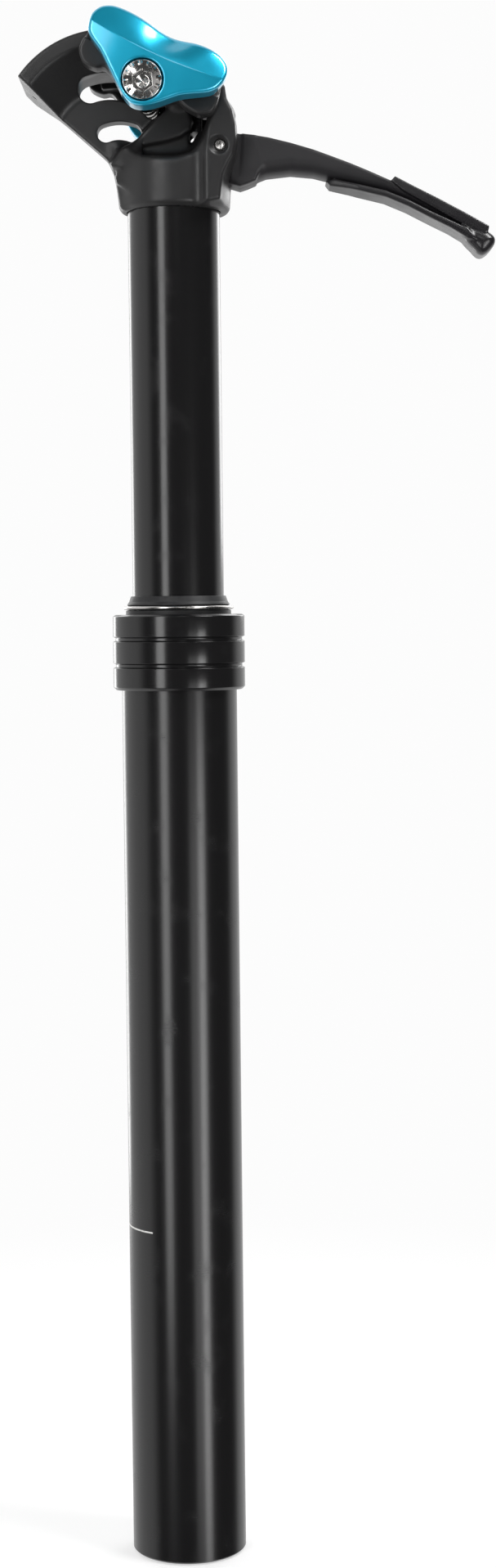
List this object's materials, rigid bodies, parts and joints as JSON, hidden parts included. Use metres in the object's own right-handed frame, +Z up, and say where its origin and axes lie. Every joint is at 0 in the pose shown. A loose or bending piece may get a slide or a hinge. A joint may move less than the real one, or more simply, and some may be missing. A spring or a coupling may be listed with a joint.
{
  "type": "telescopic seatpost",
  "caption": "Height-adjustable bicycle seatpost: stanchion sliding in an outer tube, gas spring inside, side-plate saddle clamp on a curved head, release lever at the front.",
  "frame": {"origin": "on the post's axis, at the bottom end of the outer tube", "axes": "+Z up the post towards the saddle, +X to the front of the bicycle (the lever's side), +Y to its left side"},
  "size_m": [0.1283, 0.0612, 0.421],
  "materials": {
    "outer_tube": "hard anodised, semi-gloss",
    "collar": "hard anodised, semi-gloss",
    "collar_o_ring": "matt",
    "wiper_seal": "matt",
    "wiper_spring_ring": "bright",
    "upper_bushing": "smooth",
    "base_plug": "turned",
    "base_retaining_ring": "bright",
    "rod_washer": "bright",
    "rod_bolt": "bright",
    "bump_stop": "matt",
    "gas_rod": "polished",
    "piston": "turned",
    "piston_ring": "smooth",
    "piston_nut": "bright",
    "stanchion": "hard anodised, semi-gloss",
    "guide_key_1": "smooth",
    "guide_key_2": "smooth",
    "guide_key_3": "smooth",
    "lower_bushing": "smooth",
    "cartridge_tube": "drawn",
    "cartridge_liner": "drawn",
    "rod_gland": "turned",
    "rod_seal": "matt",
    "valve_block": "turned",
    "valve_seal_ring": "matt",
    "valve_spring": "bright",
    "valve_pin": "ground",
    "head": "blasted and anodised, satin",
    "lever_pin": "ground",
    "lever": "blasted and anodised, satin",
    "right_inner_cradle": "anodised, satin",
    "left_inner_cradle": "anodised, satin",
    "right_clamp_plate": "bright blue anodised",
    "bolt_washer": "bright",
    "clamp_bolt": "bright",
    "left_clamp_plate": "bright blue anodised",
    "clamp_nut": "bright"
  },
  "bodies": {
    "outer": {"outer_tube": "outer_tube", "collar": "collar", "collar_o_ring": "collar_o_ring", "wiper_seal": "wiper_seal", "wiper_spring_ring": "wiper_spring_ring", "upper_bushing": "upper_bushing", "base_plug": "base_plug", "base_retaining_ring": "base_retaining_ring", "rod_washer": "rod_washer", "rod_bolt": "rod_bolt", "bump_stop": "bump_stop", "gas_rod": "gas_rod", "piston": "piston", "piston_ring": "piston_ring", "piston_nut": "piston_nut"},
    "upper": {"stanchion": "stanchion", "guide_key_1": "guide_key_1", "guide_key_2": "guide_key_2", "guide_key_3": "guide_key_3", "lower_bushing": "lower_bushing", "cartridge_tube": "cartridge_tube", "cartridge_liner": "cartridge_liner", "rod_gland": "rod_gland", "rod_seal": "rod_seal", "valve_block": "valve_block", "valve_seal_ring": "valve_seal_ring", "valve_spring": "valve_spring", "head": "head", "lever_pin": "lever_pin"},
    "valve_pin": {"valve_pin": "valve_pin"},
    "lever": {"lever": "lever"},
    "clamp": {"right_inner_cradle": "right_inner_cradle", "left_inner_cradle": "left_inner_cradle"},
    "right_plate": {"right_clamp_plate": "right_clamp_plate", "bolt_washer": "bolt_washer"},
    "left_plate": {"left_clamp_plate": "left_clamp_plate", "clamp_nut": "clamp_nut"},
    "bolt": {"clamp_bolt": "clamp_bolt"}
  },
  "joints": [
    {"name": "post_slide", "type": "slide", "parent": "outer", "child": "upper", "axis": [0, 0, 1], "range_m": [-0.1, 0], "stiffness_N_per_m": 600, "springref_m": 0.33},
    {"name": "lever_pivot", "type": "hinge", "parent": "upper", "child": "lever", "pos_m": [0.0129, 0, 0.3858], "axis": [0, -1, 0], "range_deg": [0, 10], "stiffness_Nm_per_rad": 0.3, "springref_deg": -20.05},
    {"name": "valve_slide", "type": "slide", "parent": "upper", "child": "valve_pin", "axis": [0, 0, -1], "range_m": [0, 0.0024], "deforming": ["valve_spring"]},
    {"name": "clamp_tilt", "type": "hinge", "parent": "upper", "child": "clamp", "pos_m": [-0.0168, 0, 0.387], "axis": [0, -1, 0], "range_deg": [-9, 50]},
    {"name": "right_plate_slide", "type": "slide", "parent": "clamp", "child": "right_plate", "axis": [0, -1, 0], "range_m": [0, 0.002]},
    {"name": "left_plate_slide", "type": "slide", "parent": "clamp", "child": "left_plate", "axis": [0, 1, 0], "range_m": [0, 0.002]},
    {"name": "bolt_turn", "type": "hinge", "parent": "right_plate", "child": "bolt", "pos_m": [-0.00703, 0, 0.39992], "axis": [0, -1, 0], "range_deg": [0, 1440]}
  ],
  "couplings": [
    {"joint": "valve_slide", "follows": "lever_pivot", "m_per_rad": 0.0132},
    {"joint": "left_plate_slide", "follows": "right_plate_slide", "ratio": 1},
    {"joint": "bolt_turn", "follows": "right_plate_slide", "rad_per_m": 12566}
  ]
}
